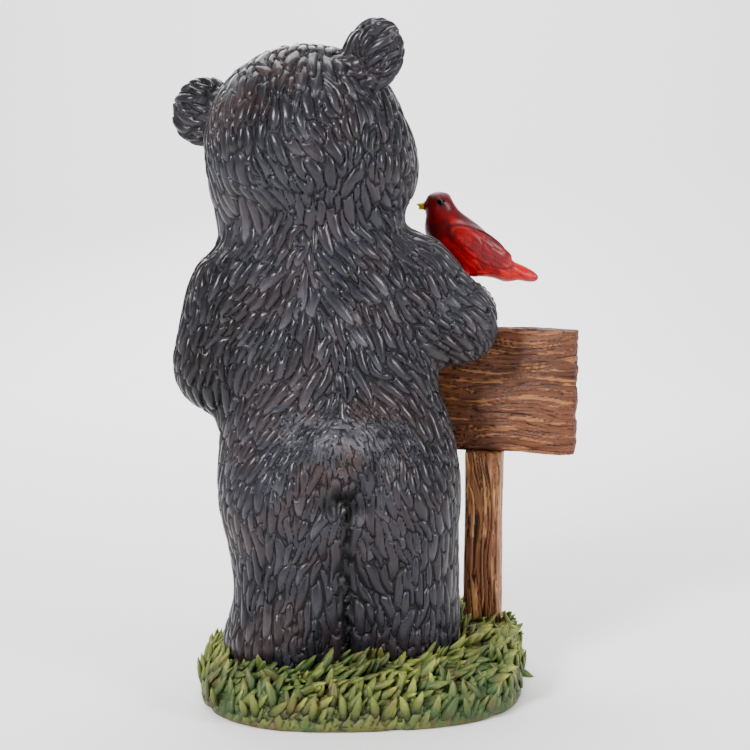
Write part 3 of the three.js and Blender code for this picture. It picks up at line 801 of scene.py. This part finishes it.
def grass_growth(points, normals):
    """Which way the grass grows at each point: up the sides and out over the top, leaning to -X."""
    grow = np.zeros_like(points)
    grow[:, 2] = 1.0
    grow[:, 0] = -0.55
    outward = unit(points * [1.0, 1.0, 0.0])
    flat = smooth_step(normals[:, 2], 0.5, 0.9)
    grow = grow + outward * (0.35 * flat)[:, None]
    along_skin = grow - normals * np.sum(grow * normals, axis=1, keepdims=True)
    return unit(unit(along_skin) + normals * (0.06 + 0.25 * flat)[:, None])


def make_grass():
    skin = skin_object("grass_base", 1.0, 3)
    points, normals = points_of(skin), normals_of(skin)
    grow = grass_growth(points, normals)
    ways = unit(grow - normals * np.sum(grow * normals, axis=1, keepdims=True))
    lengths = np.full(len(points), 15.0 * MM)
    widths = np.full(len(points), 5.4 * MM)
    coat = Strokes(points, normals, ways, lengths, widths, apart=(0.6, 0.66), seed=23, tries=30000)
    score, tint, along = stamp_all([coat], points, normals)
    keep_flat = smooth_step(points[:, 2], 0.0015, 0.006)
    height = relief(score, along)
    move_points(skin, points + normals * ((height - 0.8) * 2.4 * MM * keep_flat)[:, None])
    thinned(skin, MOUND_TRIANGLES)
    points, normals = points_of(skin), normals_of(skin)
    sow = (points[:, 2] > 0.0045) & (normals[:, 2] > -0.3)
    write_float(skin.data, "sow", sow.astype(float))
    way = skin.data.attributes.new("grow", "FLOAT_VECTOR", "POINT")
    way.data.foreach_set("vector", grass_growth(points, normals).ravel())
    material = painted_material("olive_grass_paint", 380.0, 0.25, 0.3, specular=0.3)
    leaf = bpy.data.objects.new("grass_leaf", leaf_mesh())
    bpy.context.scene.collection.objects.link(leaf)
    leaves = bpy.data.objects.new("grass_leaves", skin.data.copy())
    bpy.context.scene.collection.objects.link(leaves)
    sowing = leaves.modifiers.new("sown_leaves", "NODES")
    sowing.node_group = leaf_nodes(leaf, material)
    names = {i.name: i.identifier for i in sowing.node_group.interface.items_tree if i.in_out == "INPUT"}
    sowing[names["Seed"]] = LEAF_SEED
    sowing[names["Spacing"]] = LEAF_SPACING
    sowing[names["Leaf length"]] = LEAF_LENGTH
    sowing[names["Leaf width"]] = LEAF_WIDTH
    applied(leaves)
    bpy.data.objects.remove(leaf)
    leaf_up = read_float(leaves.data, "leaf_height")
    leaf_tint = read_float(leaves.data, "leaf_tint")
    tips = points_of(leaves)
    tips[:, 2] = np.maximum(tips[:, 2], 0.0012)
    move_points(leaves, tips)
    leaves.data.polygons.foreach_set("use_smooth", np.ones(len(leaves.data.polygons), dtype=bool))
    paint_grass(leaves, tips, leaf_up, leaf_tint, leafy=True)
    score, tint, along = stamp_all([coat], points, normals)
    paint_grass(skin, points, 0.75 * relief(score, along), tint, leafy=False)
    count = len(leaves.data.polygons)
    joined(skin, leaves)
    settle(skin, "grass_mound_carved", "grass_base", material)
    print("grass strokes", len(coat.place), "leaf faces", count, "faces", len(skin.data.polygons))


def joined(keep, extra):
    bpy.ops.object.select_all(action="DESELECT")
    extra.select_set(True)
    keep.select_set(True)
    bpy.context.view_layer.objects.active = keep
    bpy.ops.object.join()


def read_float(mesh, name):
    values = np.zeros(len(mesh.vertices), dtype=np.float32)
    mesh.attributes[name].data.foreach_get("value", values)
    return values


def paint_grass(piece, points, height, tint, leafy):
    deep = np.array([0.006, 0.009, 0.003])
    olive = np.array([0.075, 0.098, 0.018])
    lime = np.array([0.30, 0.33, 0.060])
    fern = np.array([0.026, 0.056, 0.016])
    earth = np.array([0.085, 0.042, 0.014])
    colour = mix(deep, olive, smooth_step(height, 0.05, 0.42))
    colour = mix(colour, fern, 0.85 * smooth_step(cloud(points, 45.0, 3), 0.45, 0.8))
    tips = smooth_step(height, 0.35, 0.9) * (0.1 + 0.9 * tint) * (0.25 + 0.75 * cloud(points, 20.0, 14))
    colour = mix(colour, lime, tips * (0.95 if leafy else 0.6))
    rim = 1.0 - smooth_step(points[:, 2], 0.002, 0.0045)
    colour = mix(colour, earth, 0.7 * rim * cloud(points, 12.0, 9))
    colour = mix(colour, earth, 0.4 * smooth_step(cloud(points, 8.0, 10), 0.72, 0.92))
    write_paint(piece, colour, 0.3 + 0.2 * np.clip(height, 0, 1))


# ------------------------------------------------------------------ sign

SIGN_LOW, SIGN_HIGH = (np.array(c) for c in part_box("sign_board"))
POST_LOW, POST_HIGH = (np.array(c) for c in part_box("sign_post"))
SIGN_TURN = np.array(Matrix.Rotation(math.radians(-15.0), 3, "Z"))


def sign_places(points):
    centre = (SIGN_LOW + SIGN_HIGH) / 2
    return (points - centre) @ SIGN_TURN / MM


def grain(run, rise, seed):
    """Carved wood grain, 0 in the cuts to 1 on the ridges. run is along the grain, in millimetres."""
    rng = np.random.default_rng(seed)
    sway = np.zeros(len(run))
    for _ in range(4):
        sway += rng.uniform(0.3, 0.8) * np.sin(
            run / rng.uniform(9.0, 28.0) + rise / rng.uniform(9.0, 30.0) + rng.uniform(0, 6.28))
    for _ in range(6):
        knot_run, knot_rise = rng.uniform(-50, 50), rng.uniform(-34, 34)
        gap = np.hypot((run - knot_run) / 2.4, rise - knot_rise)
        sway += 1.8 * np.sign(rise - knot_rise) * np.exp(-(gap / 2.6) ** 2)
    lines = rise + sway
    total = np.zeros(len(run))
    for length, share in ((11.0, 0.8), (6.1, 1.0), (4.1, 0.9), (2.9, 0.7), (2.1, 0.45)):
        drift = rng.uniform(0.5, 1.6) * np.sin(run / rng.uniform(14.0, 40.0) + rng.uniform(0, 6.28))
        drift += rng.uniform(0.3, 0.9) * np.sin(run / rng.uniform(5.0, 11.0) + rng.uniform(0, 6.28))
        total += share * np.sin(lines * 2 * math.pi / length + drift + rng.uniform(0, 6.28))
    return smooth_step(np.abs(total), 0.0, 0.55) * (0.72 + 0.28 * smooth_step(total, -1.5, 1.5))


def board_grain(s):
    """The board's grain, and how near each place is to its worn edge."""
    half_wide = np.abs(s[:, 0]).max()
    half_high = np.abs(s[:, 2]).max()
    edge = np.maximum(smooth_step(np.abs(s[:, 0]), half_wide - 3.5, half_wide - 0.8),
                      smooth_step(np.abs(s[:, 2]), half_high - 2.5, half_high - 0.6))
    return grain(s[:, 0], s[:, 2] + 0.8 * s[:, 1], 31), edge


def make_board():
    skin = skin_object("sign_board", 0.55, 6, 0)
    points, normals = points_of(skin), normals_of(skin)
    ridge, edge = board_grain(sign_places(points))
    depth = (1.25 + 1.1 * edge) * MM
    move_points(skin, points + normals * ((ridge - 0.72) * depth)[:, None])
    thinned(skin, BOARD_TRIANGLES)
    points, normals = points_of(skin), normals_of(skin)
    s = sign_places(points)
    ridge, edge = board_grain(s)
    groove = np.array([0.014, 0.0045, 0.003])
    brown = np.array([0.115, 0.038, 0.016])
    umber = np.array([0.062, 0.020, 0.010])
    gold = np.array([0.36, 0.155, 0.052])
    plum = np.array([0.060, 0.026, 0.024])
    colour = mix(groove, brown, smooth_step(ridge, 0.15, 0.6))
    colour = mix(colour, umber, 0.6 * smooth_step(cloud(points * [0.4, 0.4, 1.0], 22.0, 14), 0.4, 0.8))
    streak = cloud(np.stack([s[:, 0] * 0.16, s[:, 1], s[:, 2]], axis=1) * MM, 1.6, 4)
    colour = mix(colour, gold, 0.55 * smooth_step(ridge, 0.7, 0.98) * smooth_step(streak, 0.45, 0.8))
    colour = mix(colour, plum, 0.55 * edge * (1.0 - 0.5 * smooth_step(ridge, 0.6, 0.95)))
    write_paint(skin, colour, 0.35 + 0.15 * ridge)
    settle(skin, "sign_board_carved", "sign_board",
           painted_material("brown_board_paint", 620.0, 0.4, 0.7, (0.09, 0.3, 1.0), specular=0.28))


def post_places(points):
    return (points - (POST_LOW + POST_HIGH) / 2) @ SIGN_TURN / MM


def post_grain(s):
    return grain(s[:, 2], s[:, 0] * 0.9 + s[:, 1] * 0.9, 47)


def make_post():
    skin = skin_object("sign_post", 0.55, 6, 0)
    points, normals = points_of(skin), normals_of(skin)
    ridge = post_grain(post_places(points))
    move_points(skin, points + normals * ((ridge - 0.75) * 1.0 * MM)[:, None])
    thinned(skin, SMALL_TRIANGLES)
    points, normals = points_of(skin), normals_of(skin)
    s = post_places(points)
    ridge = post_grain(s)
    groove = np.array([0.020, 0.007, 0.004])
    brown = np.array([0.18, 0.068, 0.028])
    gold = np.array([0.46, 0.22, 0.085])
    colour = mix(groove, brown, smooth_step(ridge, 0.1, 0.6))
    streak = cloud(np.stack([s[:, 0], s[:, 1], s[:, 2] * 0.16], axis=1) * MM, 3.2, 6)
    colour = mix(colour, gold, 0.8 * smooth_step(ridge, 0.6, 0.98) * smooth_step(streak, 0.38, 0.8))
    write_paint(skin, colour, 0.35 + 0.15 * ridge)
    settle(skin, "sign_post_carved", "sign_post",
           painted_material("orange_brown_post_paint", 520.0, 0.45, 0.5, (1.0, 1.0, 0.07), specular=0.25))


# ------------------------------------------------------------------ bird

BIRD_LOW, BIRD_HIGH = (np.array(c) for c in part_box("bird"))
BIRD_TURNED = np.array(Euler((0.0, math.radians(-40.0), math.radians(6.0)), "XYZ").to_matrix())
BIRD_CENTRE = BIRD_LOW + (BIRD_HIGH - BIRD_LOW) * np.array([0.606, 0.498, 0.472])


# Places on the bird in millimetres from its centre: X to the beak, Y to its left, Z up.
EYE_PLACE = (26.0, 8.2, 8.2)
EYE_REACH = 2.3
FACE_CENTRE = (24.5, 0.0, 6.5)
FACE_REACH = 9.9
WING_CENTRE = (-10.0, 3.5)
WING_HALF = (23.5, 8.2)
WING_SLOPE = 0.17
WING_SEAMS = (-0.55, -0.15, 0.25, 0.6)
LEG_TOP = -17.5


def bird_places(points):
    return (points - BIRD_CENTRE) @ BIRD_TURNED / MM


def make_bird():
    skin = skin_object("bird", 0.4, 6, 1)
    points, normals = points_of(skin), normals_of(skin)
    b = bird_places(points)
    tail_way = -BIRD_TURNED[:, 0]
    ways = np.broadcast_to(tail_way, points.shape)
    ways = unit(ways - normals * np.sum(ways * normals, axis=1, keepdims=True))
    lengths = np.full(len(points), 12.0 * MM)
    widths = np.full(len(points), 3.2 * MM)
    coat = Strokes(points, normals, ways, lengths, widths, apart=(0.8, 0.85), seed=61, tries=12000)
    score, _, along = stamp_all([coat], points, normals)
    feathered = smooth_step(6.0 - b[:, 0], 0.0, 8.0) * (b[:, 2] > -15.0)
    move_points(skin, points + normals * ((relief(score, along) - 0.6) * 0.22 * MM * feathered)[:, None])
    thinned(skin, SMALL_TRIANGLES)
    points, normals = points_of(skin), normals_of(skin)
    write_bird_paint(skin, points, stamp_all([coat], points, normals)[0])
    settle(skin, "bird_painted", "bird",
           painted_material("glossy_red_paint", 500.0, 0.12, 0.06, specular=0.22))


def write_bird_paint(skin, points, score):
    b = bird_places(points)
    feathered = smooth_step(6.0 - b[:, 0], 0.0, 8.0)
    red = np.array([0.42, 0.002, 0.004])
    dark_red = np.array([0.17, 0.002, 0.004])
    maroon = np.array([0.038, 0.003, 0.006])
    pale = np.array([0.42, 0.09, 0.09])
    yellow = np.array([0.68, 0.45, 0.02])
    leg = np.array([0.10, 0.045, 0.02])
    colour = mix(red, dark_red, 0.55 * smooth_step(-score, -0.2, 0.1) * feathered)
    head = smooth_step(b[:, 0], 10.0, 19.0)
    colour = mix(colour, dark_red, head)
    nape = smooth_step(b[:, 2] + 0.12 * b[:, 0], 6.0, 9.5) * smooth_step(b[:, 0], -36.0, -28.0)
    colour = mix(colour, maroon, 0.9 * nape * (1.0 - 0.4 * head))
    # painted highlight: a thin pale stripe along each side where the back curves over
    line = np.exp(-((b[:, 2] + 0.12 * b[:, 0] - 6.2) / 0.7) ** 2) * smooth_step(np.abs(b[:, 1]), 4.0, 8.0)
    colour = mix(colour, pale, 0.25 * line * smooth_step(b[:, 0], -34.0, -20.0) * (b[:, 0] < 12.0))
    wing_x = b[:, 0] - WING_CENTRE[0]
    wing_z = b[:, 2] - WING_CENTRE[1] + WING_SLOPE * wing_x
    round_wing = np.hypot(wing_x / WING_HALF[0], wing_z / WING_HALF[1])
    side_on = smooth_step(np.abs(b[:, 1]), 6.0, 9.0)
    colour = mix(colour, dark_red, 0.45 * side_on * (round_wing < 1.0))
    for seam in WING_SEAMS:
        feather = np.exp(-((wing_z / WING_HALF[1] - seam * (1.0 + wing_x / 60.0)) / 0.06) ** 2)
        colour = mix(colour, maroon, 0.55 * feather * side_on * (round_wing < 0.98) * (wing_x < 12.0))
    colour = mix(colour, maroon, 0.8 * np.exp(-((round_wing - 1.0) / 0.055) ** 2) * side_on)
    # painted highlight: a pale rim just inside the upper edge of each wing
    colour = mix(colour, pale, 0.30 * np.exp(-((round_wing - 0.88) / 0.03) ** 2) * side_on * (wing_z > -3.0))
    colour = mix(colour, maroon, 0.5 * smooth_step(cloud(points, 9.0, 71), 0.75, 0.95))
    beak = np.linalg.norm(b - FACE_CENTRE, axis=1) > FACE_REACH
    beak = beak & (b[:, 0] > 27.0) & (np.abs(b[:, 1]) < 3.6) & (b[:, 2] < 8.0)
    colour[beak] = yellow
    under = b[:, 2] < LEG_TOP
    colour[under] = leg
    eyes = np.zeros(len(points), dtype=bool)
    for side in (1.0, -1.0):
        eyes |= np.linalg.norm(b - [EYE_PLACE[0], side * EYE_PLACE[1], EYE_PLACE[2]], axis=1) < EYE_REACH
    colour[eyes] = (0.002, 0.002, 0.002)
    gloss = np.full(len(points), 0.62)
    gloss[under] = 0.4
    gloss[eyes] = 0.95
    write_paint(skin, colour, gloss)


make_camera()
make_stage()
make_bear()
make_grass()
make_board()
make_post()
make_bird()

bpy.context.view_layer.update()
